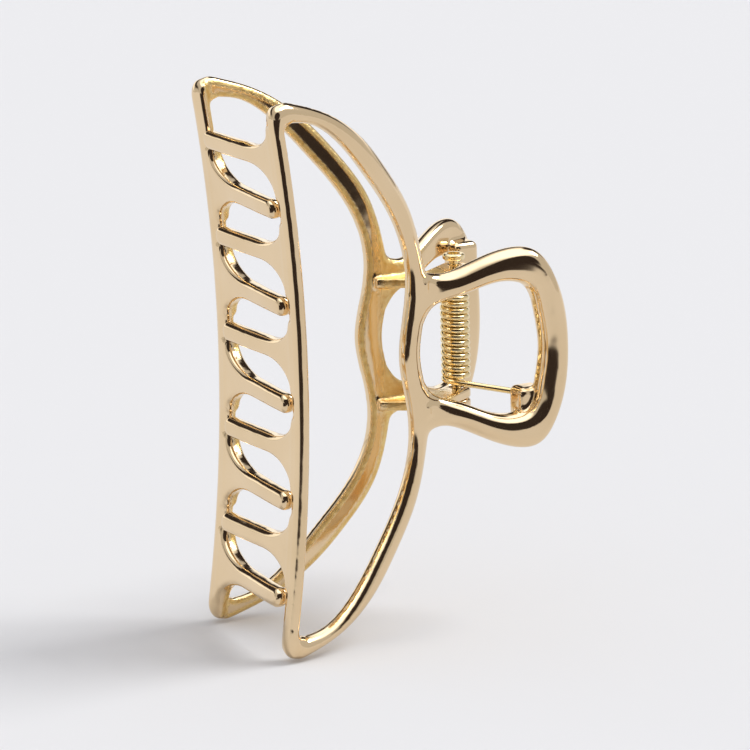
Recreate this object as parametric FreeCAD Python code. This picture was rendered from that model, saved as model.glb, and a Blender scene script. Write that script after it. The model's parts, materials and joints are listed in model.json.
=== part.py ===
import FreeCAD, Part
import math
import os

V = FreeCAD.Vector

# A hair claw clip: two identical die-cast jaws, one turned half a turn about X from the other,
# on one hinge pin with a torsion spring round it.
# +Z runs along the clip's length and its hinge pin, +X from the teeth to the thumb loops, and
# Y through the two jaws.  The clip stands on its end, so Z starts at 0.
# The parts are made round the middle of the pin, and moved to that frame at the end.
# All sizes are in millimetres.

# Driving dimensions
CLIP_LENGTH = 90.0
HALF_LENGTH = CLIP_LENGTH / 2
PIN_X = 13.55              # pin axis, measured from the middle of the clip's depth

# Plan of one jaw: distance w from the clip's middle plane against depth x from the pin
PLAN_X = [-42.0, -34.0, -28.0, -22.0, -16.5, -12.0, -8.0, -3.5, 1.0, 6.0, 14.0]
PLAN_W = [13.3, 13.0, 12.2, 10.7, 8.8, 7.3, 6.6, 8.1, 10.5, 12.9, 15.1]
PLAN_STATIONS = 13
BOW_THICKNESS = 2.6        # bow bars, across the casting
LOOP_THICKNESS = 3.8       # thumb loop bars, across the casting
LOOP_START_X = -8.0        # where the casting starts to thicken
LOOP_FULL_X = -2.0         # where it has its full thickness

# Tooth rail
RAIL_FRONT_X = -36.1       # front face at mid length
RAIL_BOW = 3.1             # how much further out the rail's ends stand
RAIL_BOW_SPAN = 41.0       # half length at which they do
RAIL_RADIUS = (RAIL_BOW_SPAN ** 2 + RAIL_BOW ** 2) / (2 * RAIL_BOW)
RAIL_THICKNESS = 2.1
RAIL_OUTER_W = 14.5
RAIL_INNER_W = 11.0
RAIL_HALF_LENGTH = 42.4
RAIL_EDGE_RADIUS = 0.7      # on the rail's outer long edges

# Teeth
TOOTH_COUNT = 5
TOOTH_PITCH = 15.72
TOOTH_HEIGHT = 3.1
TOOTH_THICKNESS = 2.7      # at the root
TOOTH_TIP_THICKNESS = 2.4
TOOTH_INSET = 0.2          # root's front face, behind the rail's
TOOTH_FORWARD = 0.8        # how far the tip stands in front of the rail
TOOTH_BEND_Y = (-8.0, 9.6) # where a tooth bends forward
TOOTH_REACH = 10.65        # how far past the middle plane a tooth ends
TOOTH_TIP_RADIUS = 1.3
BIG_FILLET = (8.4, 4.6)    # along the tooth, along the rail
SMALL_FILLET = (8.5, 4.1)

# Hinge
PIN_RADIUS = 0.75
PIN_CLEARANCE = 0.06       # radial, in every ear
EAR_RADIUS = 2.3
EAR_ROOT_HALF_WIDTH = 1.9
EAR_THICKNESS = 1.6
INNER_EAR_Z = 8.5          # inner face of the ears next to the spring
OUTER_EAR_Z = 10.3         # inner face of the ears outside them
HEAD_RADIUS = 1.8
HEAD_HEIGHT = 1.0
HEAD_Z = 12.8              # underside of the pin's head
TAIL_Z = 12.2              # inner face of the pin's spread tail
TAIL_RADIUS = 1.4
DIMPLE_RADIUS = 1.05
DIMPLE_DEPTH = 0.6

# Spring
WIRE_RADIUS = 0.5
COIL_RADIUS = 2.0          # middle of the wire
COIL_PITCH = 1.07
COIL_WHOLE_TURNS = 13
BEND_RADIUS = 0.53         # where the wire bends from the coil into a leg
LEG_END = (6.4, -8.75, -8.3)

# Lug that holds a spring leg, in the outer corner of a thumb loop
LUG_X = (4.9, 9.4)
LUG_W = (8.3, 12.6)
LUG_Z = (6.9, 13.0)
GROOVE_RADIUS = 0.6

# Outlines of one jaw seen square on: (x, z) of the upper half, mirrored for the lower half
BOW_OUTER = [(-36.6, 45.0), (-28.4, 42.0), (-21.2, 36.7), (-16.4, 31.0), (-11.9, 24.0), (-9.0, 13.2)]
BOW_INNER = [(-35.3, 41.5), (-32.4, 41.0), (-26.9, 37.5), (-21.2, 31.0), (-16.1, 24.0), (-12.7, 15.0), (-12.7, 9.5)]
BOW_TIP_Z = 39.4           # where the opening meets the rail
HINGE_BAR_LEFT_X = -14.2
HINGE_BAR_RIGHT_X = -10.3
LOOP_OUTER = [(-9.0, 13.2), (-6.6, 12.5), (-3.0, 13.5), (3.0, 16.2), (6.8, 16.3), (10.1, 12.3)]
LOOP_OUTER_X = 12.35
LOOP_INNER = [(-9.6, 4.6), (-8.0, 6.9), (-3.6, 8.8), (2.9, 11.0), (6.0, 10.1), (7.6, 6.0)]
LOOP_INNER_X = 8.3


def spline(points):
    curve = Part.BSplineCurve()
    curve.interpolate([V(*p) for p in points])
    return curve


def outline_part(points):
    """A smooth piece of an outline in the XZ plane."""
    return spline([(x, 0, z) for x, z in points]).toShape()


def mirrored(points):
    return [(x, -z) for x, z in reversed(points)]


def across_middle(points, middle_x):
    """Upper points, a point on the mid-length plane, and the mirrored lower points."""
    return points + [(middle_x, 0)] + mirrored(points)


def face_of(edges):
    return Part.Face(Part.Wire(Part.__sortEdges__(edges)))


def casting_thickness(x):
    """Bow thickness, rising smoothly to loop thickness past the hinge."""
    share = (x - LOOP_START_X) / (LOOP_FULL_X - LOOP_START_X)
    share = min(max(share, 0.0), 1.0)
    return BOW_THICKNESS + (LOOP_THICKNESS - BOW_THICKNESS) * share * share * (3 - 2 * share)


def curved_plate():
    """The bent plate that the bow and thumb loop of the -Y jaw are cut from."""
    plan = spline([(x, -w, 0) for x, w in zip(PLAN_X, PLAN_W)])
    outer = []
    inner = []
    for k in range(PLAN_STATIONS):
        share = k / (PLAN_STATIONS - 1)
        u = plan.FirstParameter + (plan.LastParameter - plan.FirstParameter) * share
        point = plan.value(u)
        along = plan.tangent(u)[0]
        across = V(-along.y, along.x, 0) * (casting_thickness(point.x) / 2)
        outer.append(point - across)
        inner.append(point + across)
    ends = [Part.makeLine(outer[-1], inner[-1]), Part.makeLine(inner[0], outer[0])]
    face = face_of([spline(outer).toShape(), spline(inner).toShape()] + ends)
    face.translate(V(0, 0, -HALF_LENGTH - 1))
    return face.extrude(V(0, 0, CLIP_LENGTH + 2))


def rail_x(z):
    """Front of the rail at height z from mid length."""
    return RAIL_FRONT_X - RAIL_RADIUS + math.sqrt(RAIL_RADIUS ** 2 - z ** 2)


def rail_line(half, setback):
    """The rail's bowed line, setback behind its front face."""
    end_x = rail_x(half) + setback
    middle = V(RAIL_FRONT_X + setback, 0, 0)
    return Part.Arc(V(end_x, 0, -half), middle, V(end_x, 0, half)).toShape()


def rail_band(half, thickness, y_from, y_to):
    """A bowed bar that follows the rail between two Y values."""
    front = rail_line(half, 0)
    back = rail_line(half, thickness)
    closing = [Part.makeLine(f.Point, b.Point) for f, b in zip(front.Vertexes, back.Vertexes)]
    face = face_of([front, back] + closing)
    face.translate(V(0, y_from, 0))
    return face.extrude(V(0, y_to - y_from, 0))


def jaw_silhouette():
    """Bow and thumb loop seen square on, and their two openings."""
    corner = [(rail_x(RAIL_HALF_LENGTH), RAIL_HALF_LENGTH), (-38.3, 44.3), BOW_OUTER[0]]
    loop = outline_part(across_middle(LOOP_OUTER, LOOP_OUTER_X))
    body = [outline_part(corner), outline_part(BOW_OUTER), loop]
    body += [outline_part(mirrored(BOW_OUTER)), outline_part(mirrored(corner))]
    body.append(rail_line(RAIL_HALF_LENGTH, 0))

    inside_rail = RAIL_THICKNESS / 2
    tip = [(rail_x(BOW_TIP_Z) + inside_rail, BOW_TIP_Z), (-36.9, 40.7), BOW_INNER[0]]
    bow = [rail_line(BOW_TIP_Z, inside_rail), outline_part(tip)]
    bow += [outline_part(across_middle(BOW_INNER, HINGE_BAR_LEFT_X)), outline_part(mirrored(tip))]

    finger = [outline_part(across_middle(LOOP_INNER, LOOP_INNER_X))]
    side = [mirrored(LOOP_INNER)[-1], (HINGE_BAR_RIGHT_X, 0), LOOP_INNER[0]]
    finger.append(outline_part(side))
    return face_of(body), face_of(bow), face_of(finger)


def bow_and_loop():
    """The D-shaped bow with its thumb loop, on the -Y side."""
    depth = V(0, -2 * RAIL_OUTER_W, 0)
    body, bow, finger = [face.extrude(depth) for face in jaw_silhouette()]
    return curved_plate().common(body.cut(bow).cut(finger))


def fillet_curve(y_root, z_root, y_size, z_size):
    """Quarter ellipse that leads from a tooth's edge into the rail."""
    points = []
    for step in range(5):
        angle = math.radians(90 * step / 4)
        points.append((0, y_root + y_size * (1 - math.sin(angle)), z_root + z_size * (1 - math.cos(angle))))
    return spline(points).toShape()


def tooth_depth(z):
    """The bent bar that holds a tooth's front and back: its tip stands further forward than its root."""
    front = []
    back = []
    for share in (0.0, 0.25, 0.5, 0.75, 1.0):
        y = TOOTH_BEND_Y[0] + (TOOTH_BEND_Y[1] - TOOTH_BEND_Y[0]) * share
        bend = share * share * (3 - 2 * share)
        thickness = TOOTH_THICKNESS + (TOOTH_TIP_THICKNESS - TOOTH_THICKNESS) * bend
        x = TOOTH_INSET - (TOOTH_INSET + TOOTH_FORWARD) * bend
        front.append(V(x, y, 0))
        back.append(V(x + thickness, y, 0))
    root = -RAIL_OUTER_W
    edges = [spline(front).toShape(), spline(back).toShape()]
    edges.append(Part.makeLine(front[0], V(front[0].x, root, 0)))
    edges.append(Part.makeLine(V(front[0].x, root, 0), V(back[0].x, root, 0)))
    edges.append(Part.makeLine(V(back[0].x, root, 0), back[0]))
    edges.append(Part.makeLine(front[-1], V(front[-1].x, RAIL_OUTER_W, 0)))
    edges.append(Part.makeLine(V(front[-1].x, RAIL_OUTER_W, 0), V(back[-1].x, RAIL_OUTER_W, 0)))
    edges.append(Part.makeLine(V(back[-1].x, RAIL_OUTER_W, 0), back[-1]))
    half = TOOTH_PITCH / 2
    lean = -z / math.sqrt(RAIL_RADIUS ** 2 - z ** 2) * half
    face = face_of(edges)
    face.translate(V(rail_x(z) - lean, 0, z - half))
    return face.extrude(V(2 * lean, 0, 2 * half))


def tooth(z):
    """One tooth of the -Y jaw, seen along X, as deep as the rail's bow needs."""
    root = -RAIL_INNER_W
    top = z + TOOTH_HEIGHT / 2
    low = z - TOOTH_HEIGHT / 2
    r = TOOTH_TIP_RADIUS
    inside = root - 1.5
    upper = fillet_curve(root, top, SMALL_FILLET[0], SMALL_FILLET[1])
    lower = fillet_curve(root, low, BIG_FILLET[0], -BIG_FILLET[1])
    corners = [
        V(0, root + SMALL_FILLET[0], top),
        V(0, TOOTH_REACH - r, top),
        V(0, TOOTH_REACH, top - r),
        V(0, TOOTH_REACH, low + r),
        V(0, TOOTH_REACH - r, low),
        V(0, root + BIG_FILLET[0], low),
    ]
    bend = r * (1 - math.sqrt(0.5))
    edges = [upper, lower]
    edges.append(Part.makeLine(corners[0], corners[1]))
    edges.append(Part.Arc(corners[1], V(0, TOOTH_REACH - bend, top - bend), corners[2]).toShape())
    edges.append(Part.makeLine(corners[2], corners[3]))
    edges.append(Part.Arc(corners[3], V(0, TOOTH_REACH - bend, low + bend), corners[4]).toShape())
    edges.append(Part.makeLine(corners[4], corners[5]))
    upper_root = V(0, root, top + SMALL_FILLET[1])
    lower_root = V(0, root, low - BIG_FILLET[1])
    edges.append(Part.makeLine(upper_root, V(0, inside, upper_root.z)))
    edges.append(Part.makeLine(V(0, inside, upper_root.z), V(0, inside, lower_root.z)))
    edges.append(Part.makeLine(V(0, inside, lower_root.z), lower_root))
    face = face_of(edges)
    face.translate(V(RAIL_FRONT_X - 2 * RAIL_BOW, 0, 0))
    return face.extrude(V(4 * RAIL_BOW, 0, 0))


def teeth():
    """All teeth of the -Y jaw: a quarter pitch off centre, so the two jaws interleave."""
    middle = (TOOTH_COUNT - 1) / 2
    made = []
    for k in range(TOOTH_COUNT):
        z = TOOTH_PITCH * (k - middle) + TOOTH_PITCH / 4
        made.append(tooth(z).common(tooth_depth(z)))
    return made


def ear(inner_z, sign):
    """One hinge ear of the -Y jaw: a plate from the hinge bar to round the pin."""
    root = V(-10.6, -6.6, 0)
    end = V(0, 0, 0)
    along = (end - root).normalize()
    across = V(-along.y, along.x, 0)
    side = across * EAR_ROOT_HALF_WIDTH
    rim = across * EAR_RADIUS
    arc = Part.Arc(end + rim, end + along * EAR_RADIUS, end - rim).toShape()
    edges = [arc, Part.makeLine(root + side, end + rim), Part.makeLine(root - side, end - rim)]
    edges.append(Part.makeLine(root + side, root - side))
    plate = face_of(edges).extrude(V(0, 0, EAR_THICKNESS))
    bore = Part.makeCylinder(PIN_RADIUS + PIN_CLEARANCE, EAR_THICKNESS)
    plate = plate.cut(bore)
    z = inner_z if sign > 0 else -inner_z - EAR_THICKNESS
    plate.translate(V(0, 0, z))
    return plate


def leg_angle():
    """Angle round the coil at which the lower leg leaves it as a tangent."""
    return math.atan2(LEG_END[1], LEG_END[0]) - math.acos(COIL_RADIUS / math.hypot(LEG_END[0], LEG_END[1]))


def coil_turns():
    """Whole turns and the part turn that sets the two legs alike on either jaw."""
    return COIL_WHOLE_TURNS + (leg_angle() / math.pi) % 1


def leg(radius, extra):
    """Round bar along the lower spring leg, extra longer than the leg."""
    angle = leg_angle()
    start = V(COIL_RADIUS * math.cos(angle), COIL_RADIUS * math.sin(angle), -COIL_PITCH * coil_turns() / 2)
    run = V(*LEG_END) - start
    return Part.makeCylinder(radius, run.Length + extra, start, run), start


def lug():
    """Block in the lower outer corner of the loop, grooved inside for a spring leg."""
    block = Part.makeBox(LUG_X[1] - LUG_X[0], LUG_W[1] - LUG_W[0], LUG_Z[1] - LUG_Z[0])
    block.translate(V(LUG_X[0], -LUG_W[1], -LUG_Z[1]))
    return block.cut(leg(GROOVE_RADIUS, LUG_X[1])[0])


def rail():
    """The bar along the tooth roots, its ends rounded into the bow's corners."""
    band = rail_band(HALF_LENGTH, RAIL_THICKNESS, -RAIL_OUTER_W, -RAIL_INNER_W)
    outer = [e for e in band.Edges if e.Length > HALF_LENGTH and e.BoundBox.YMax < -RAIL_OUTER_W + 0.1]
    band = band.makeFillet(RAIL_EDGE_RADIUS, outer)
    return band.common(jaw_silhouette()[0].extrude(V(0, -2 * RAIL_OUTER_W, 0)))


def front_jaw():
    """The jaw on the -Y side."""
    shape = bow_and_loop()
    shape = shape.fuse([rail()] + teeth())
    shape = shape.fuse([ear(OUTER_EAR_Z, 1), ear(INNER_EAR_Z, -1), lug()])
    return shape.removeSplitter()


def hinge_pin():
    """Pin with a dimpled ring head above and a spread tail below."""
    stem = Part.makeCylinder(PIN_RADIUS, HEAD_Z + TAIL_Z, V(0, 0, -TAIL_Z))
    head = Part.makeCylinder(HEAD_RADIUS, HEAD_HEIGHT, V(0, 0, HEAD_Z))
    head = head.makeFillet(0.35, [e for e in head.Edges if e.Length > 1.9 * math.pi * HEAD_RADIUS])
    dimple = Part.makeCylinder(DIMPLE_RADIUS, DIMPLE_DEPTH + 1, V(0, 0, HEAD_Z + HEAD_HEIGHT - DIMPLE_DEPTH))
    tail = Part.makeCylinder(TAIL_RADIUS, 0.6, V(0, 0, -TAIL_Z - 0.6))
    return stem.fuse([head, tail]).cut(dimple).removeSplitter()


def torsion_spring():
    """Left-hand coil round the pin, with a leg to each jaw's lug."""
    height = COIL_PITCH * coil_turns()
    helix = Part.makeHelix(COIL_PITCH, height, COIL_RADIUS, 0, True)
    section = Part.Wire(Part.Circle(V(COIL_RADIUS, 0, 0), V(0, 1, 0), WIRE_RADIUS).toShape())
    coil = Part.Wire(helix.Edges).makePipeShell([section], True, True)
    coil.rotate(V(0, 0, 0), V(0, 0, 1), math.degrees(leg_angle()))
    coil.translate(V(0, 0, -height / 2))
    bar, bend = leg(WIRE_RADIUS, 0)
    lower = bar.fuse(Part.makeSphere(BEND_RADIUS, bend))
    upper = lower.copy()
    upper.rotate(V(0, 0, 0), V(1, 0, 0), 180)
    return coil.fuse([lower, upper])


def main():
    os.makedirs("parts", exist_ok=True)
    front = front_jaw()
    rear = front.copy()
    rear.rotate(V(0, 0, 0), V(1, 0, 0), 180)
    pieces = {"front_jaw": front, "rear_jaw": rear, "hinge_pin": hinge_pin()}
    pieces["torsion_spring"] = torsion_spring()
    for name, shape in pieces.items():
        shape.translate(V(PIN_X, 0, HALF_LENGTH))
        print(name, shape.isValid(), len(shape.Solids), round(shape.Volume, 1), shape.BoundBox)
        shape.exportStep("parts/" + name + ".step")


main()
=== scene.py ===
import json
import math

import bmesh
import bpy
import numpy as np
from mathutils import Matrix, Vector


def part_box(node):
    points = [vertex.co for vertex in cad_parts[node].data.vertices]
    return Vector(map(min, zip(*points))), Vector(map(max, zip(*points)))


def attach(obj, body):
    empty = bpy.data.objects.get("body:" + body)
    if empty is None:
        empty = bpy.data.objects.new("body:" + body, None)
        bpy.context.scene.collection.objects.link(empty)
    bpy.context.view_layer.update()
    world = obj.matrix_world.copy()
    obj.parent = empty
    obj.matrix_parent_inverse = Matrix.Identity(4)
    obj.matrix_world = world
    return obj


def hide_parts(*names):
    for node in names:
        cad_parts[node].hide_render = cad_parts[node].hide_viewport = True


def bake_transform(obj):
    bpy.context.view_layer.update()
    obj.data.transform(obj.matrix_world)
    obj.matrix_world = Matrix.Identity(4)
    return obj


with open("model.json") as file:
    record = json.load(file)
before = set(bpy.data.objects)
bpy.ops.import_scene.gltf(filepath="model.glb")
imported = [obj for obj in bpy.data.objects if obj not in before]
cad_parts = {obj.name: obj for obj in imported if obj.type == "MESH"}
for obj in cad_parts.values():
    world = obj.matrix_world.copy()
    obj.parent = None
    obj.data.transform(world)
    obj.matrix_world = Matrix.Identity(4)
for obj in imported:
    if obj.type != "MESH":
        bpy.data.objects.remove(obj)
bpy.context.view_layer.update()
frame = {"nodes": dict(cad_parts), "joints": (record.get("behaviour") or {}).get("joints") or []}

# The jaws are worked out round the middle of the hinge pin, in millimetres: x from the teeth to
# the thumb loops, w outward from the clip's middle plane, z up along the pin.
MM = 0.001
PIN = Vector(frame["joints"][0]["pos_m"])
CLIP_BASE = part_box("front_jaw")[0].z
HALF_LENGTH = (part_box("front_jaw")[1].z - CLIP_BASE) / MM / 2
TOOTH_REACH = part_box("front_jaw")[1].y / MM

# Plan of a jaw: (x, w) along the middle of its casting
PLAN = [
    (-42.0, 13.3), (-34.0, 13.0), (-28.0, 12.2), (-22.0, 10.7), (-16.5, 8.8), (-12.0, 7.3),
    (-8.0, 6.6), (-3.5, 8.1), (1.0, 10.5), (6.0, 12.9), (14.0, 15.1),
]
BOW_THICKNESS = 2.6
LOOP_THICKNESS = 3.8
LOOP_START_X = -8.0        # where the casting begins to thicken
LOOP_FULL_X = -2.0         # and where it is as thick as the loop
# Edge radii: on the outer side, inside along the outer contour, inside along the openings
BOW_ROUND = (1.75, 1.15, 0.5)
LOOP_ROUND = (2.2, 1.3, 0.6)
CONTOUR_BLEND = 0.6        # halfway between contour and opening, one edge radius turns into the other
CORNER_SOFTENING = 1.6     # square millimetres of blur on the body's outline

# Outlines of a jaw seen square on: (x, z) of the upper half
BOW_OUTER = [(-36.6, 45.0), (-28.4, 42.0), (-21.2, 36.7), (-16.4, 31.0), (-11.9, 24.0), (-9.0, 13.2)]
BOW_INNER = [
    (-35.3, 41.5), (-32.4, 41.0), (-26.9, 37.5), (-21.2, 31.0), (-16.1, 24.0), (-12.7, 15.0), (-12.7, 9.5),
]
BOW_CORNER = (-38.3, 44.3)
BOW_TIP = (-37.9, 39.4)
BOW_TIP_CURVE = (-36.9, 40.7)
HINGE_BAR_LEFT_X = -14.2
HINGE_BAR_RIGHT_X = -10.3
LOOP_OUTER = [(-9.0, 13.2), (-6.6, 12.5), (-3.0, 13.5), (3.0, 16.2), (6.8, 16.3), (10.1, 12.3)]
LOOP_OUTER_X = 12.35
LOOP_INNER = [(-9.6, 4.6), (-8.0, 6.9), (-3.6, 8.8), (2.9, 11.0), (6.0, 10.1), (7.6, 6.0)]
LOOP_INNER_X = 8.3

# Tooth rail and teeth
RAIL_FRONT_X = -36.1
RAIL_RADIUS = 272.7
RAIL_THICKNESS = 2.1
RAIL_W = (11.0, 14.5)
RAIL_HALF_LENGTH = 42.4
RAIL_ROUND = 1.0
RAIL_FILLET = 0.8
TOOTH_COUNT = 5
TOOTH_PITCH = 15.72
TOOTH_HEIGHT = 3.1
TOOTH_THICKNESS = 2.7       # at the root
TOOTH_TIP_THICKNESS = 2.4
TOOTH_FORWARD = 0.8         # how far the tip stands in front of the rail
TOOTH_BEND_W = (8.0, -9.6)  # where a tooth begins and ends its bend forward
TOOTH_ROOT_DEPTH = 1.5      # how far a tooth's outline goes into the rail
TOOTH_TIP_RADIUS = 1.3
TOOTH_ROUND = 0.95
TOOTH_FILLET = 0.8
BIG_FILLET = (8.4, 4.6)     # along w and along z, under a tooth
SMALL_FILLET = (8.5, 4.1)   # and over it

# Hinge ears, bores and the lug of the spring leg
EAR_RADIUS = 2.3
EAR_ROOT = (-10.6, 6.6)
EAR_ROOT_HALF_WIDTH = 1.9
EAR_Z = ((10.3, 11.9), (-10.1, -8.5))
EAR_ROUND = 0.3
EAR_FILLET = 0.9
BORE_RADIUS = 0.81
LUG = ((4.9, 9.4), (8.3, 12.6), (-13.0, -6.9))
LUG_ROUND = 1.0
LUG_FILLET = 0.7
GROOVE_RADIUS = 0.6

# Spring
WIRE_RADIUS = 0.5
COIL_RADIUS = 2.0
COIL_PITCH = 1.07
COIL_WHOLE_TURNS = 13
LEG_END = (6.4, -8.75, -8.3)
POINTS_PER_TURN = 40
LEG_POINTS = 24
LEG_BEND_ROUNDS = 6        # rounds of evening out where a leg leaves the coil
WIRE_SIDES = 14
DOME_STEPS = (0.3, 0.6, 0.92)  # rings of the domed ends, in wire radii past the end

# Faces left as cast, whose deeper gold is also painted shade between the jaws, in millimetres: each pair is
# where the finish and the painted shade begin and end their change
CAST_SHADE_INWARD = (0.3, 0.8)           # from the casting's middle to its inner face
CAST_SHADE_END_X = (-5.0, -1.0)
CAST_SHADE_STRIP = (0.2, 0.55)           # out from the middle of a strip along an edge of the inner face
CAST_SHADE_STRIP_BY_BOW = 0.55           # how far a strip's middle is from the bow's opening
CAST_SHADE_STRIP_BY_CONTOUR = 0.75
CAST_SHADE_RAIL_DEPTH = (1.1, 1.7)       # behind the rail's front
CAST_SHADE_RAIL_LOW_W = (8.6, 10.4)
CAST_SHADE_RAIL_HIGH_W = (11.6, 12.4)
CAST_SHADE_RAIL_END = 2.9                # the rail's finish is used up to this depth
CAST_SHADE_EAR_START_X = (-12.0, -10.0)
CAST_SHADE_EAR_END_X = (-4.0, -1.5)
CAST_SHADE_EAR_W = (5.4, 6.4)
CAST_SHADE_EAR_SHARE = 0.8

# Grid that the jaw's surface is taken from
GRID_STEP = 0.28
GRID_X = (-40.6, 13.6)
GRID_TOP_W = 18.4
GRID_MARGIN = 1.2
SLOPE_STEP = 0.6           # in grid steps
SMOOTHING_ROUNDS = 2
FAR = 1e9                  # farther than any distance on the clip

# Points along the curves
SPLINE_STEPS = 24
RAIL_STEPS = 60
FILLET_STEPS = 12
TIP_STEPS = 8
EAR_STEPS = 24


# ---- curves and distances -----------------------------------------------------------------

def spline(points):
    """Points along a natural cubic spline through the given ones."""
    points = np.array(points, float)
    chord = np.linalg.norm(np.diff(points, axis=0), axis=1)
    n = len(points)
    matrix = np.eye(n)
    slopes = np.zeros_like(points)
    for i in range(1, n - 1):
        matrix[i, i - 1 : i + 2] = (chord[i - 1], 2 * (chord[i - 1] + chord[i]), chord[i])
        left = (points[i] - points[i - 1]) / chord[i - 1]
        right = (points[i + 1] - points[i]) / chord[i]
        slopes[i] = 6 * (right - left)
    bend = np.linalg.solve(matrix, slopes)
    out = []
    for i in range(n - 1):
        h = chord[i]
        t = np.linspace(0, h, SPLINE_STEPS, endpoint=False)[:, None]
        chord_line = points[i] * (h - t) / h + points[i + 1] * t / h
        start_bend = bend[i] * ((h - t) ** 3 / h - h * (h - t)) / 6
        end_bend = bend[i + 1] * (t ** 3 / h - h * t) / 6
        out.append(chord_line + start_bend + end_bend)
    return np.vstack(out + [points[-1:]])


def mirrored(points):
    return [(x, -z) for x, z in reversed(points)]


def closed(parts):
    """One closed outline from curves that follow each other."""
    return np.vstack([part[:-1] for part in parts])


def rail_x(z):
    return RAIL_FRONT_X - RAIL_RADIUS + np.sqrt(RAIL_RADIUS ** 2 - z ** 2)


def rail_line(z_from, z_to, setback):
    z = np.linspace(z_from, z_to, RAIL_STEPS)
    return np.stack([rail_x(z) + setback, z], axis=1)


def jaw_outlines():
    """Closed (x, z) outlines: the whole jaw, the bow's opening and the thumb loop's opening."""
    corner = [(float(rail_x(RAIL_HALF_LENGTH)), RAIL_HALF_LENGTH), BOW_CORNER, BOW_OUTER[0]]
    loop = LOOP_OUTER + [(LOOP_OUTER_X, 0)] + mirrored(LOOP_OUTER)
    body = [spline(corner), spline(BOW_OUTER), spline(loop), spline(mirrored(BOW_OUTER))]
    body += [spline(mirrored(corner)), rail_line(-RAIL_HALF_LENGTH, RAIL_HALF_LENGTH, 0)]

    tip = [BOW_TIP, BOW_TIP_CURVE, BOW_INNER[0]]
    inner = BOW_INNER + [(HINGE_BAR_LEFT_X, 0)] + mirrored(BOW_INNER)
    bow = [spline(tip), spline(inner), spline(mirrored(tip))]
    bow.append(rail_line(-BOW_TIP[1], BOW_TIP[1], RAIL_THICKNESS / 2))

    finger = LOOP_INNER + [(LOOP_INNER_X, 0)] + mirrored(LOOP_INNER)
    side = [mirrored(LOOP_INNER)[-1], (HINGE_BAR_RIGHT_X, 0), LOOP_INNER[0]]
    return closed(body), closed(bow), closed([spline(finger), spline(side)])


def outline_distance(u, v, outline):
    """Signed distance from points to a closed outline, negative inside it."""
    best = np.full(u.shape, FAR)
    inside = np.zeros(u.shape, bool)
    for (u0, v0), (u1, v1) in zip(outline, np.roll(outline, -1, axis=0)):
        du, dv = u1 - u0, v1 - v0
        along = np.clip(((u - u0) * du + (v - v0) * dv) / (du * du + dv * dv + 1e-12), 0, 1)
        best = np.minimum(best, (u - u0 - along * du) ** 2 + (v - v0 - along * dv) ** 2)
        if v0 != v1:
            crosses = (v0 > v) != (v1 > v)
            inside ^= crosses & (u < u0 + (v - v0) * du / dv)
    return np.sqrt(best) * np.where(inside, -1, 1)


def plan_distance(x, w):
    """Signed distance from points to the casting's middle, and the x of the nearest place on it.

    The distance is positive on the outer side."""
    curve = spline(PLAN)
    best = np.full(x.shape, FAR)
    side = np.zeros(x.shape)
    near_x = np.zeros(x.shape)
    for (x0, w0), (x1, w1) in zip(curve[:-1], curve[1:]):
        dx, dw = x1 - x0, w1 - w0
        along = np.clip(((x - x0) * dx + (w - w0) * dw) / (dx * dx + dw * dw), 0, 1)
        ex, ew = x - x0 - along * dx, w - w0 - along * dw
        gap = ex ** 2 + ew ** 2
        closer = gap < best
        best = np.where(closer, gap, best)
        side = np.where(closer, np.sign(ew * dx - ex * dw), side)
        near_x = np.where(closer, x0 + along * dx, near_x)
    return np.sqrt(best) * side, near_x


def smooth_step(value, low, high):
    share = np.clip((value - low) / (high - low), 0, 1)
    return share * share * (3 - 2 * share)


def softened(gap):
    """A flat distance field with its sharp corners evened out over about a millimetre."""
    for _ in range(int(CORNER_SOFTENING / GRID_STEP ** 2)):
        padded = np.pad(gap, 1, mode="edge")
        gap = (padded[:-2, 1:-1] + padded[2:, 1:-1] + padded[1:-1, :-2] + padded[1:-1, 2:] + 4 * gap) / 8
    return gap


def rounded_both(a, b, radius):
    """Where both shapes are, with the edge between them rounded."""
    a = a + radius
    b = b + radius
    outside = np.sqrt(np.maximum(a, 0) ** 2 + np.maximum(b, 0) ** 2)
    return outside + np.minimum(np.maximum(a, b), 0) - radius


def joined(a, b, fillet):
    """Where either shape is, with a fillet between them."""
    share = np.maximum(fillet - np.abs(a - b), 0) / fillet
    return np.minimum(a, b) - share * share * fillet / 4


# ---- the jaw ------------------------------------------------------------------------------

def fillet_points(w_root, z_root, w_size, z_size):
    """Quarter ellipse from a tooth's edge into the rail, as (w, z)."""
    angle = np.linspace(0, math.pi / 2, FILLET_STEPS)
    return np.stack([w_root - w_size * (1 - np.sin(angle)), z_root + z_size * (1 - np.cos(angle))], axis=1)


def tooth_outline(z):
    """Outline of one tooth as (w, z): its tip is on the far side, at negative w."""
    root = RAIL_W[0]
    top = z + TOOTH_HEIGHT / 2
    low = z - TOOTH_HEIGHT / 2
    r = TOOTH_TIP_RADIUS
    upper = fillet_points(root, top, *SMALL_FILLET)
    lower = fillet_points(root, low, BIG_FILLET[0], -BIG_FILLET[1])
    turn = np.linspace(0, math.pi / 2, TIP_STEPS)
    tip_top = np.stack([-TOOTH_REACH + r - r * np.sin(turn), top - r + r * np.cos(turn)], axis=1)
    tip_low = np.stack([-TOOTH_REACH + r - r * np.cos(turn), low + r - r * np.sin(turn)], axis=1)
    deep = root + TOOTH_ROOT_DEPTH
    inside = [(deep, low - BIG_FILLET[1]), (deep, top + SMALL_FILLET[1])]
    return np.vstack([upper[::-1], upper[:1], tip_top, tip_low, lower, inside])


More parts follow.
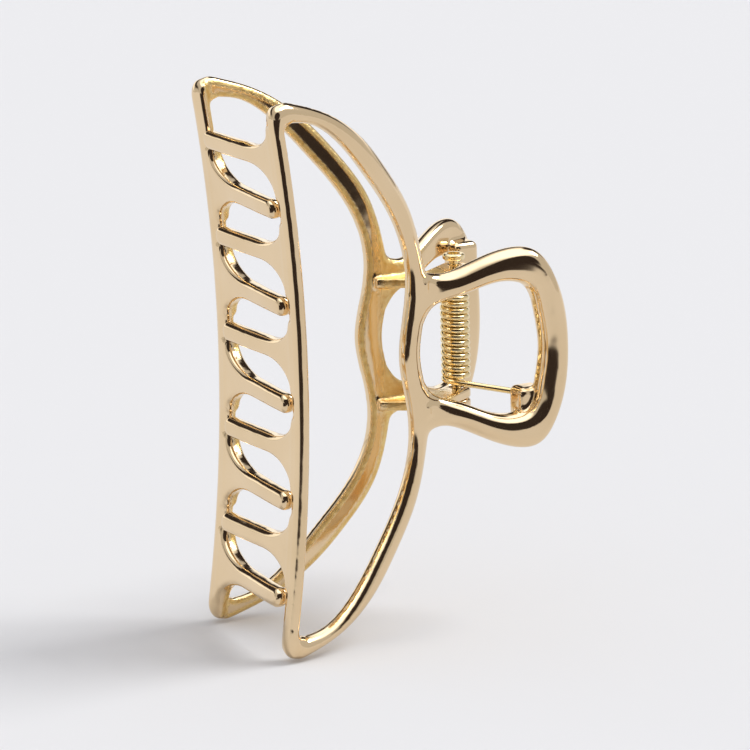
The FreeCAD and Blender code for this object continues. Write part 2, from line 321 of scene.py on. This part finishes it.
def sheet_field(xw, body_gap, opening_gap):
    """The casting with its two openings, thicker round the thumb loop."""
    outline_gap = np.maximum(body_gap, -opening_gap)[:, None, :]
    by_contour = smooth_step(opening_gap + body_gap, -CONTOUR_BLEND, CONTOUR_BLEND)[:, None, :]
    offset, near_x = plan_distance(*xw)
    loop_share = smooth_step(near_x, LOOP_START_X, LOOP_FULL_X)
    half = (BOW_THICKNESS + (LOOP_THICKNESS - BOW_THICKNESS) * loop_share) / 2
    outer, contour, opening = (b + (l - b) * loop_share[:, :, None] for b, l in zip(BOW_ROUND, LOOP_ROUND))
    edge_round = np.where(offset[:, :, None] > 0, outer, opening + (contour - opening) * by_contour)
    sheet = (np.abs(offset) - half)[:, :, None]
    return rounded_both(sheet, outline_gap, edge_round)


def rail_field(w, rail_depth, body_gap):
    """The bar along the bow's front edge that carries the teeth."""
    rail_gap = np.abs(rail_depth - RAIL_THICKNESS / 2) - RAIL_THICKNESS / 2
    rail_gap = rounded_both(rail_gap, body_gap, RAIL_ROUND)[:, None, :]
    across = (np.abs(w - sum(RAIL_W) / 2) - (RAIL_W[1] - RAIL_W[0]) / 2)[None, :, None]
    return rounded_both(rail_gap, across, RAIL_ROUND)


def teeth_field(w, z, rail_depth):
    """The teeth: bars that reach across the middle plane and lean forward as they go."""
    wz = np.meshgrid(w, z, indexing="ij")
    profile = np.full(wz[0].shape, FAR)
    for k in range(TOOTH_COUNT):
        middle = TOOTH_PITCH * (k - (TOOTH_COUNT - 1) / 2) + TOOTH_PITCH / 4
        profile = np.minimum(profile, outline_distance(*wz, tooth_outline(middle)))
    bend = smooth_step(-w, -TOOTH_BEND_W[0], -TOOTH_BEND_W[1])[None, :, None]
    half = (TOOTH_THICKNESS + (TOOTH_TIP_THICKNESS - TOOTH_THICKNESS) * bend) / 2
    band = np.abs(rail_depth[:, None, :] + TOOTH_FORWARD * bend - half) - half
    return rounded_both(profile[None, :, :], band, TOOTH_ROUND)


def jaw_field(x, w, z):
    """Signed distance to the front jaw on a grid with these axes."""
    xw = np.meshgrid(x, w, indexing="ij")
    xz = np.meshgrid(x, z, indexing="ij")
    body, bow, finger = jaw_outlines()
    body_gap = softened(outline_distance(*xz, body))
    opening_gap = np.minimum(outline_distance(*xz, bow), outline_distance(*xz, finger))
    rail_depth = xz[0] - rail_x(xz[1])

    jaw = sheet_field(xw, body_gap, opening_gap)
    jaw = joined(jaw, rail_field(w, rail_depth, body_gap), RAIL_FILLET)
    jaw = joined(jaw, teeth_field(w, z, rail_depth), TOOTH_FILLET)
    jaw = joined(jaw, ears_field(xw, z), EAR_FILLET)
    jaw = joined(jaw, lug_field(x, w, z), LUG_FILLET)
    bore = BORE_RADIUS - np.hypot(*xw)
    jaw = np.maximum(jaw, bore[:, :, None])
    groove = GROOVE_RADIUS - leg_distance(x[:, None, None], w[None, :, None], z[None, None, :])
    return np.maximum(jaw, groove)


def ear_outline():
    """Outline of a hinge ear as (x, w): round the pin, tapering from the hinge bar."""
    root = np.array(EAR_ROOT)
    along = -root / np.linalg.norm(root)
    across = np.array([-along[1], along[0]])
    turn = np.linspace(-math.pi / 2, math.pi / 2, EAR_STEPS)[:, None]
    round_end = EAR_RADIUS * (np.cos(turn) * along + np.sin(turn) * across)
    return np.vstack([root - across * EAR_ROOT_HALF_WIDTH, round_end, root + across * EAR_ROOT_HALF_WIDTH])


def ears_field(xw, z):
    plate = outline_distance(*xw, ear_outline())[:, :, None]
    both = FAR
    for low, high in EAR_Z:
        slab = (np.abs(z - (low + high) / 2) - (high - low) / 2)[None, None, :]
        both = np.minimum(both, rounded_both(plate, slab, EAR_ROUND))
    return both


def lug_field(x, w, z):
    gaps = [np.abs(axis - sum(span) / 2) - (span[1] - span[0]) / 2 for axis, span in zip((x, w, z), LUG)]
    flat = rounded_both(gaps[0][:, None, None], gaps[1][None, :, None], LUG_ROUND)
    return rounded_both(flat, gaps[2][None, None, :], LUG_ROUND)


def leg_angle():
    """Angle round the coil at which the lower leg leaves it as a tangent."""
    return math.atan2(LEG_END[1], LEG_END[0]) - math.acos(COIL_RADIUS / math.hypot(LEG_END[0], LEG_END[1]))


def coil_turns():
    return COIL_WHOLE_TURNS + (leg_angle() / math.pi) % 1


def leg_start():
    angle = leg_angle()
    height = -COIL_PITCH * coil_turns() / 2
    return np.array([COIL_RADIUS * math.cos(angle), COIL_RADIUS * math.sin(angle), height])


def leg_distance(x, w, z):
    """Distance to the line of the lower spring leg, from its coil end outward."""
    start = leg_start()
    run = np.array(LEG_END) - start
    run /= np.linalg.norm(run)
    dx, dy, dz = x - start[0], -w - start[1], z - start[2]
    along = np.maximum(dx * run[0] + dy * run[1] + dz * run[2], 0)
    return np.sqrt((dx - along * run[0]) ** 2 + (dy - along * run[1]) ** 2 + (dz - along * run[2]) ** 2)


# ---- meshing ------------------------------------------------------------------------------

CORNERS = np.array([(i, j, k) for i in (0, 1) for j in (0, 1) for k in (0, 1)])
CELL_EDGES = [
    (a, b) for a in range(8) for b in range(a + 1, 8)
    if np.abs(CORNERS[a] - CORNERS[b]).sum() == 1
]


def surface_net(field):
    """Vertices (in grid steps) and quads of the surface where the field is zero."""
    inside = field < 0
    count = np.zeros(np.array(field.shape) - 1, np.uint8)
    for i, j, k in CORNERS:
        count += inside[i : i + count.shape[0], j : j + count.shape[1], k : k + count.shape[2]]
    cells = np.argwhere((count > 0) & (count < 8))
    values = np.stack([field[tuple((cells + corner).T)] for corner in CORNERS], axis=1)
    total = np.zeros((len(cells), 3))
    crossings = np.zeros(len(cells))
    for a, b in CELL_EDGES:
        va, vb = values[:, a], values[:, b]
        cut = (va < 0) != (vb < 0)
        share = np.where(cut, va / np.where(cut, va - vb, 1), 0)[:, None]
        total += np.where(cut[:, None], CORNERS[a] + share * (CORNERS[b] - CORNERS[a]), 0)
        crossings += cut
    vertices = cells + total / crossings[:, None]

    number = np.full(count.shape, -1)
    number[tuple(cells.T)] = np.arange(len(cells))
    quads = []
    for axis in range(3):
        step = np.eye(3, dtype=int)[axis]
        first, second = np.eye(3, dtype=int)[(axis + 1) % 3], np.eye(3, dtype=int)[(axis + 2) % 3]
        low = inside[tuple(slice(0, n - s) for n, s in zip(inside.shape, step))]
        high = inside[tuple(slice(s, n) for n, s in zip(inside.shape, step))]
        at = np.argwhere(low != high)
        ring = [at - first - second, at - second, at, at - first]
        quad = np.stack([number[tuple(cell.T)] for cell in ring], axis=1)
        outward = low[tuple(at.T)]
        quads.append(np.where(outward[:, None], quad, quad[:, ::-1]))
    return vertices, np.vstack(quads)


def sampled(field, points):
    """The field between its grid points."""
    base = np.clip(np.floor(points).astype(int), 0, np.array(field.shape) - 2)
    part = points - base
    total = 0
    for corner in CORNERS:
        weight = np.prod(np.where(corner, part, 1 - part), axis=1)
        total = total + weight * field[tuple((base + corner).T)]
    return total


def slope(field, points):
    out = []
    for axis in np.eye(3):
        step = axis * SLOPE_STEP
        out.append(sampled(field, points + step) - sampled(field, points - step))
    return np.stack(out, axis=1) / (2 * SLOPE_STEP)


def relaxed(vertices, quads):
    """Vertices moved halfway to the average of their neighbours, to even out the net."""
    starts = quads.ravel()
    ends = np.roll(quads, -1, axis=1).ravel()
    total = np.zeros_like(vertices)
    number = np.zeros(len(vertices))
    for a, b in ((starts, ends), (ends, starts)):
        for axis in range(3):
            total[:, axis] += np.bincount(a, weights=vertices[b, axis], minlength=len(vertices))
        number += np.bincount(a, minlength=len(vertices))
    return 0.5 * vertices + 0.5 * total / number[:, None]


def onto_surface(field, vertices):
    """Vertices moved along the field's slope to where it is zero."""
    normal = slope(field, vertices)
    gap = sampled(field, vertices)[:, None]
    return vertices - normal * gap / np.maximum((normal ** 2).sum(axis=1, keepdims=True), 1e-6)


def jaw_mesh():
    low = np.array([GRID_X[0], -TOOTH_REACH - GRID_MARGIN, -HALF_LENGTH - GRID_MARGIN])
    high = np.array([GRID_X[1], GRID_TOP_W, HALF_LENGTH + GRID_MARGIN])
    axes = [np.arange(a, b, GRID_STEP) for a, b in zip(low, high)]
    field = jaw_field(*axes).astype(np.float32)
    vertices, quads = surface_net(field)
    for _ in range(SMOOTHING_ROUNDS):
        vertices = relaxed(vertices, quads)
        vertices = onto_surface(field, onto_surface(field, vertices))
    points = low + vertices * GRID_STEP
    # where the faces are left as cast, which also carries painted shade in their colour
    cast_and_shade = cast_and_shade_share(points)
    points[:, 1] *= -1
    mesh = bpy.data.meshes.new("jaw")
    mesh.from_pydata((points * MM).tolist(), [], quads[:, ::-1].tolist())
    attribute = mesh.attributes.new("cast_and_shade_face", "FLOAT", "POINT")
    attribute.data.foreach_set("value", cast_and_shade.astype(np.float32))
    mesh.shade_smooth()
    return mesh


def cast_and_shade_share(points):
    """1 on faces left as cast and given painted shade in their colour: along the inner face's edges, behind
    the teeth and by the hinge.
    """
    x, w, z = points.T
    offset, near_x = plan_distance(x, w)
    body, bow, _ = jaw_outlines()
    inner = smooth_step(-offset, *CAST_SHADE_INWARD) * (1 - smooth_step(near_x, *CAST_SHADE_END_X))
    by_bow = np.abs(outline_distance(x, z, bow) - CAST_SHADE_STRIP_BY_BOW)
    by_contour = np.abs(outline_distance(x, z, body) + CAST_SHADE_STRIP_BY_CONTOUR)
    sheet = inner * (1 - smooth_step(np.minimum(by_bow, by_contour), *CAST_SHADE_STRIP))
    depth = x - rail_x(z)
    rail = smooth_step(depth, *CAST_SHADE_RAIL_DEPTH) * (1 - smooth_step(w, *CAST_SHADE_RAIL_HIGH_W))
    rail = rail * smooth_step(w, *CAST_SHADE_RAIL_LOW_W)
    ears = smooth_step(x, *CAST_SHADE_EAR_START_X) * (1 - smooth_step(w, *CAST_SHADE_EAR_W))
    ears = ears * (1 - smooth_step(x, *CAST_SHADE_EAR_END_X))
    return np.clip(np.where(depth < CAST_SHADE_RAIL_END, rail, sheet) + CAST_SHADE_EAR_SHARE * ears, 0, 1)


# ---- spring and pin -----------------------------------------------------------------------

def spring_path():
    """Points along the wire: lower leg, left-hand coil, upper leg."""
    turns = coil_turns()
    count = int(turns * POINTS_PER_TURN)
    angle = leg_angle() - np.linspace(0, 2 * math.pi * turns, count)
    height = COIL_PITCH * turns * (np.linspace(0, 1, count) - 0.5)
    coil = np.stack([COIL_RADIUS * np.cos(angle), COIL_RADIUS * np.sin(angle), height], axis=1)
    share = np.linspace(0, 1, LEG_POINTS)[:-1, None]
    leg = np.array(LEG_END) * (1 - share) + leg_start() * share
    upper = leg[::-1] * np.array([1, -1, -1])
    path = np.vstack([leg, coil, upper])
    for _ in range(LEG_BEND_ROUNDS):
        path[1:-1] = (path[:-2] + 2 * path[1:-1] + path[2:]) / 4
    return path


def tube(name, path, radius, sides):
    """A round wire along a path, with domed ends."""
    tangent = np.gradient(path, axis=0)
    tangent /= np.linalg.norm(tangent, axis=1, keepdims=True)
    up = np.array([0.0, 0.0, 1.0])
    side = np.cross(up, tangent)
    side /= np.linalg.norm(side, axis=1, keepdims=True)
    top = np.cross(tangent, side)
    rings = [(path[0], tangent[0], side[0], top[0], -dome) for dome in DOME_STEPS[::-1]]
    rings += [(p, t, s, u, 0) for p, t, s, u in zip(path, tangent, side, top)]
    rings += [(path[-1], tangent[-1], side[-1], top[-1], dome) for dome in DOME_STEPS]
    bm = bmesh.new()
    loops = []
    for point, along, across, upward, dome in rings:
        reach = radius * math.sqrt(1 - dome * dome)
        centre = point + along * radius * dome
        loop = []
        for k in range(sides):
            turn = 2 * math.pi * k / sides
            offset = reach * (math.cos(turn) * across + math.sin(turn) * upward)
            loop.append(bm.verts.new(Vector(centre + offset) * MM))
        loops.append(loop)
    for low, high in zip(loops[:-1], loops[1:]):
        for k in range(sides):
            bm.faces.new((low[k], low[(k + 1) % sides], high[(k + 1) % sides], high[k]))
    bm.faces.new(loops[0][::-1])
    bm.faces.new(loops[-1])
    bmesh.ops.recalc_face_normals(bm, faces=bm.faces)
    mesh = bpy.data.meshes.new(name)
    bm.to_mesh(mesh)
    bm.free()
    mesh.shade_smooth()
    return mesh


# ---- materials ----------------------------------------------------------------------------

def node(tree, kind, inputs=(), **settings):
    made = tree.nodes.new(kind)
    for key, value in settings.items():
        setattr(made, key, value)
    for key, value in dict(inputs).items():
        if isinstance(value, bpy.types.NodeSocket):
            tree.links.new(value, made.inputs[key])
        else:
            made.inputs[key].default_value = value
    return made


def ramp(tree, factor, stops):
    made = node(tree, "ShaderNodeValToRGB", {"Fac": factor})
    elements = made.color_ramp.elements
    while len(elements) < len(stops):
        elements.new(0.5)
    for element, (place, colour) in zip(elements, stops):
        element.position = place
        element.color = (*colour, 1)
    return made.outputs["Color"]


def noise(tree, place, scale, detail, roughness=0.5):
    inputs = {"Vector": place, "Scale": scale, "Detail": detail, "Roughness": roughness}
    return node(tree, "ShaderNodeTexNoise", inputs).outputs["Fac"]


def mixed(tree, share, a, b, kind="RGBA"):
    """From a to b as the share goes from 0 to 1."""
    return node(tree, "ShaderNodeMix", {"Factor": share, "A": a, "B": b}, data_type=kind).outputs["Result"]


def worked_out(tree, operation, a, b):
    return node(tree, "ShaderNodeMath", {0: a, 1: b}, operation=operation).outputs[0]


def dot(tree, place, axis):
    return node(tree, "ShaderNodeVectorMath", {0: place, 1: axis}, operation="DOT_PRODUCT").outputs["Value"]


def in_range(tree, value, low, high, to_low=0.0, to_high=1.0):
    inputs = {"Value": value, "From Min": low, "From Max": high, "To Min": to_low, "To Max": to_high}
    return node(tree, "ShaderNodeMapRange", inputs).outputs["Result"]


def bump(tree, height, strength, distance, below=None):
    inputs = {"Height": height, "Strength": strength, "Distance": distance}
    if below:
        inputs["Normal"] = below
    return node(tree, "ShaderNodeBump", inputs).outputs["Normal"]


# Gold: darker and lighter tone of the polish and of faces left as cast, whose deeper gold is painted shade,
# and roughness
PLATE_TONES = [(0.88, 0.69, 0.44), (0.94, 0.75, 0.50)]
PLATE_ROUGHNESS = 0.09
WIRE_TONES = [(0.92, 0.74, 0.40), (0.97, 0.82, 0.50)]
WIRE_ROUGHNESS = 0.12
# painted shade: darker, deeper gold for the cast faces between the jaws, behind the teeth and by the hinge
CAST_SHADE_TONES = [(0.84, 0.56, 0.19), (0.97, 0.76, 0.36)]
CAST_ROUGHNESS = 0.34
HAZE = (0.8, 1.3)               # how far the polish's roughness varies
# Noises: scale, detail and, for the grain, roughness
CLOUD_NOISE = (90.0, 4.0)
HAZE_NOISE = (260.0, 3.0)
WAVE_NOISE = (130.0, 2.0)
GRAIN_NOISE = (900.0, 5.0, 0.65)
# Bumps: strength and height in metres
WAVE_BUMP = (0.22, 0.0006)
GRAIN_BUMP = (0.9, 0.0003)


def make_gold(name, tones, roughness):
    """Polished gold, turning to a rougher cast finish where the mesh says so, with a deeper gold there that
    is painted shade.
    """
    material = bpy.data.materials.new(name)
    material.use_nodes = True
    tree = material.node_tree
    shader = tree.nodes["Principled BSDF"]
    shader.inputs["Metallic"].default_value = 1.0
    place = node(tree, "ShaderNodeTexCoord").outputs["Object"]
    share = node(tree, "ShaderNodeAttribute", attribute_name="cast_and_shade_face").outputs["Fac"]
    grain = noise(tree, place, *GRAIN_NOISE)

    plate = ramp(tree, noise(tree, place, *CLOUD_NOISE), [(0.3, tones[0]), (0.7, tones[1])])
    # painted shade: the cast faces' deeper gold darkens the inner faces, the rail's back and the ears
    cast_shade_tone = ramp(tree, grain, [(0.35, CAST_SHADE_TONES[0]), (0.65, CAST_SHADE_TONES[1])])
    tree.links.new(mixed(tree, share, plate, cast_shade_tone), shader.inputs["Base Color"])

    haze = noise(tree, place, *HAZE_NOISE)
    polish = in_range(tree, haze, 0.0, 1.0, roughness * HAZE[0], roughness * HAZE[1])
    tree.links.new(mixed(tree, share, polish, CAST_ROUGHNESS, "FLOAT"), shader.inputs["Roughness"])

    waves = bump(tree, noise(tree, place, *WAVE_NOISE), *WAVE_BUMP)
    grain_strength = worked_out(tree, "MULTIPLY", share, GRAIN_BUMP[0])
    grains = bump(tree, grain, grain_strength, GRAIN_BUMP[1], waves)
    tree.links.new(grains, shader.inputs["Normal"])
    return material


# ---- building -----------------------------------------------------------------------------

def add(name, mesh, material):
    piece = bpy.data.objects.new(name, mesh)
    bpy.context.scene.collection.objects.link(piece)
    mesh.materials.append(material)
    return piece


def build_clip():
    plate = make_gold("gold plate", PLATE_TONES, PLATE_ROUGHNESS)
    wire = make_gold("gold wire", WIRE_TONES, WIRE_ROUGHNESS)

    mesh = jaw_mesh()
    front = add("front_jaw_skin", mesh, plate)
    front.matrix_world = Matrix.Translation(PIN)
    rear = bpy.data.objects.new("rear_jaw_skin", mesh)
    bpy.context.scene.collection.objects.link(rear)
    rear.matrix_world = Matrix.Translation(PIN) @ Matrix.Rotation(math.pi, 4, "X")
    for piece, name in ((front, "front_jaw"), (rear, "rear_jaw")):
        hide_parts(name)
        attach(piece, name)

    spring = add("spring_wire", tube("spring_wire", spring_path(), WIRE_RADIUS, WIRE_SIDES), wire)
    spring.matrix_world = Matrix.Translation(PIN)
    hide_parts("torsion_spring")
    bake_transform(spring)

    pin = frame["nodes"]["hinge_pin"]
    pin.data.materials.clear()
    pin.data.materials.append(wire)


# ---- stage, light and camera --------------------------------------------------------------

# Angles are in degrees and distances in metres, but the lens and sensor are in millimetres. The
# camera looks at the hinge, then turns a little.
CAMERA_FROM = (-29.0, 13.89)
CAMERA_DISTANCE = 0.8498
CAMERA_ROLL = -1.22
CAMERA_LENS = 252.4
CAMERA_SENSOR = 36
CAMERA_CLIP = 0.01
AIM_RIGHT = 0.874
AIM_UP = 0.421

# Even light of the studio, and what reflections show of it instead: a duller room with dark and
# bright parts, each given as (azimuth, elevation, half width, half height, softness) and a colour
STUDIO_COLOUR = (0.655, 0.655, 0.675)
STUDIO_REFLECTED = (0.56, 0.54, 0.52)
STUDIO_DARK = (0.03, 0.022, 0.02)
STUDIO_PATCHES = [
    ((0, 90, 38, 38, 0.3), (1.7, 1.7, 1.7)),
    ((-27, 22, 47, 27, 0.12), STUDIO_DARK),
    ((128, 15, 16, 50, 0.2), STUDIO_DARK),
    ((165, 10, 55, 9, 0.3), (1.15, 1.13, 1.1)),
    ((180, 27, 60, 9, 0.3), STUDIO_DARK),
]
KEY_FROM = (72, 55)
KEY_ANGLE = 27
KEY_STRENGTH = 1.55

FLOOR_REACH = 6.0
FLOOR_GAP = 0.0002
FLOOR_COLOUR = (0.80, 0.80, 0.81)
FLOOR_ROUGHNESS = 0.9
# Painted light: in reflections the floor is duller, painted brighter behind than in front as if lit from
# behind, and painted unlit where it is past both edges: (azimuth, from, to)
FLOOR_REFLECTED_SHADED_AHEAD = (0.66, 0.635, 0.61)
FLOOR_REFLECTED_LIT_BEHIND = (0.74, 0.72, 0.70)
FLOOR_TURNS_BEHIND = (-0.08, 0.08)      # y from which and up to which one tone turns into the other
UNLIT_FLOOR_EDGES = [(-62, 0.13, 0.155), (0, -0.01, 0.02)]


def direction(azimuth, elevation):
    """Unit vector at an azimuth from the front towards the right, and an elevation."""
    az, el = math.radians(azimuth), math.radians(elevation)
    return Vector((math.sin(az) * math.cos(el), -math.cos(az) * math.cos(el), math.sin(el)))


def build_camera():
    back = direction(*CAMERA_FROM)
    right = direction(CAMERA_FROM[0] + 90, 0)
    turn = Matrix((right, back.cross(right), back)).transposed()
    for angle, axis in ((CAMERA_ROLL, "Z"), (AIM_RIGHT, "Y"), (-AIM_UP, "X")):
        turn = turn @ Matrix.Rotation(math.radians(angle), 3, axis)
    data = bpy.data.cameras.new("camera")
    data.lens = CAMERA_LENS
    data.sensor_width = CAMERA_SENSOR
    data.clip_start = CAMERA_CLIP
    camera = bpy.data.objects.new("camera", data)
    camera.matrix_world = Matrix.Translation(PIN + back * CAMERA_DISTANCE) @ turn.to_4x4()
    bpy.context.scene.collection.objects.link(camera)
    bpy.context.scene.camera = camera


def reflect_studio_floor(tree, shader):
    """What the clip's reflections show of the floor, as painted light: dimmer in front and brighter behind,
    and painted unlit past both edges.
    """
    place = node(tree, "ShaderNodeTexCoord").outputs["Object"]
    depth = node(tree, "ShaderNodeSeparateXYZ", {0: place}).outputs["Y"]
    behind = in_range(tree, depth, *FLOOR_TURNS_BEHIND)
    # painted light: the floor's reflected tone brightens towards the back, as if lit from behind
    tone = ramp(tree, behind, [(0, FLOOR_REFLECTED_SHADED_AHEAD), (1, FLOOR_REFLECTED_LIT_BEHIND)])
    unlit = 1.0
    for azimuth, near, past in UNLIT_FLOOR_EDGES:
        beyond = in_range(tree, dot(tree, place, direction(azimuth, 0)), near, past)
        unlit = worked_out(tree, "MULTIPLY", unlit, beyond)
    tone = mixed(tree, unlit, tone, (*STUDIO_DARK, 1))
    reflected = node(tree, "ShaderNodeBsdfDiffuse", {"Color": tone})
    glossy = node(tree, "ShaderNodeLightPath").outputs["Is Glossy Ray"]
    seen = node(tree, "ShaderNodeMixShader", {"Fac": glossy, 1: shader.outputs[0], 2: reflected.outputs[0]})
    tree.links.new(seen.outputs[0], tree.nodes["Material Output"].inputs["Surface"])


def build_floor():
    bm = bmesh.new()
    corners = [(-1, -1), (1, -1), (1, 1), (-1, 1)]
    height = CLIP_BASE - FLOOR_GAP
    bm.faces.new([bm.verts.new((x * FLOOR_REACH, y * FLOOR_REACH, height)) for x, y in corners])
    mesh = bpy.data.meshes.new("floor")
    bm.to_mesh(mesh)
    bm.free()
    material = bpy.data.materials.new("floor")
    material.use_nodes = True
    shader = material.node_tree.nodes["Principled BSDF"]
    shader.inputs["Base Color"].default_value = (*FLOOR_COLOUR, 1)
    shader.inputs["Roughness"].default_value = FLOOR_ROUGHNESS
    reflect_studio_floor(material.node_tree, shader)
    floor = add("floor", mesh, material)


def studio_patch(tree, ray, azimuth, elevation, half_width, half_height, soft):
    """1 in an oval part of the studio round a direction, 0 outside it."""
    middle = direction(azimuth, elevation)
    side = direction(azimuth + 90, 0)
    squares = []
    for axis, half in ((side, half_width), (middle.cross(side), half_height)):
        share = worked_out(tree, "DIVIDE", dot(tree, ray, axis), math.sin(math.radians(half)))
        squares.append(worked_out(tree, "POWER", share, 2.0))
    total = worked_out(tree, "ADD", *squares)
    inside = in_range(tree, total, 1 - soft, 1 + soft, 1.0, 0.0)
    ahead = worked_out(tree, "GREATER_THAN", dot(tree, ray, middle), 0.0)
    return worked_out(tree, "MULTIPLY", inside, ahead)


def build_light():
    world = bpy.data.worlds.new("studio")
    bpy.context.scene.world = world
    world.use_nodes = True
    tree = world.node_tree
    ray = node(tree, "ShaderNodeTexCoord").outputs["Generated"]
    colour = (*STUDIO_REFLECTED, 1)
    for place, patch_colour in STUDIO_PATCHES:
        colour = mixed(tree, studio_patch(tree, ray, *place), colour, (*patch_colour, 1))
    glossy = node(tree, "ShaderNodeLightPath").outputs["Is Glossy Ray"]
    colour = mixed(tree, glossy, (*STUDIO_COLOUR, 1), colour)
    tree.links.new(colour, tree.nodes["Background"].inputs["Color"])

    data = bpy.data.lights.new("key", "SUN")
    data.energy = KEY_STRENGTH
    data.angle = math.radians(KEY_ANGLE)
    key = bpy.data.objects.new("key", data)
    key.rotation_euler = direction(*KEY_FROM).to_track_quat("Z", "Y").to_euler()
    bpy.context.scene.collection.objects.link(key)


build_clip()
build_camera()
build_floor()
build_light()
bpy.context.scene.view_settings.view_transform = "Standard"
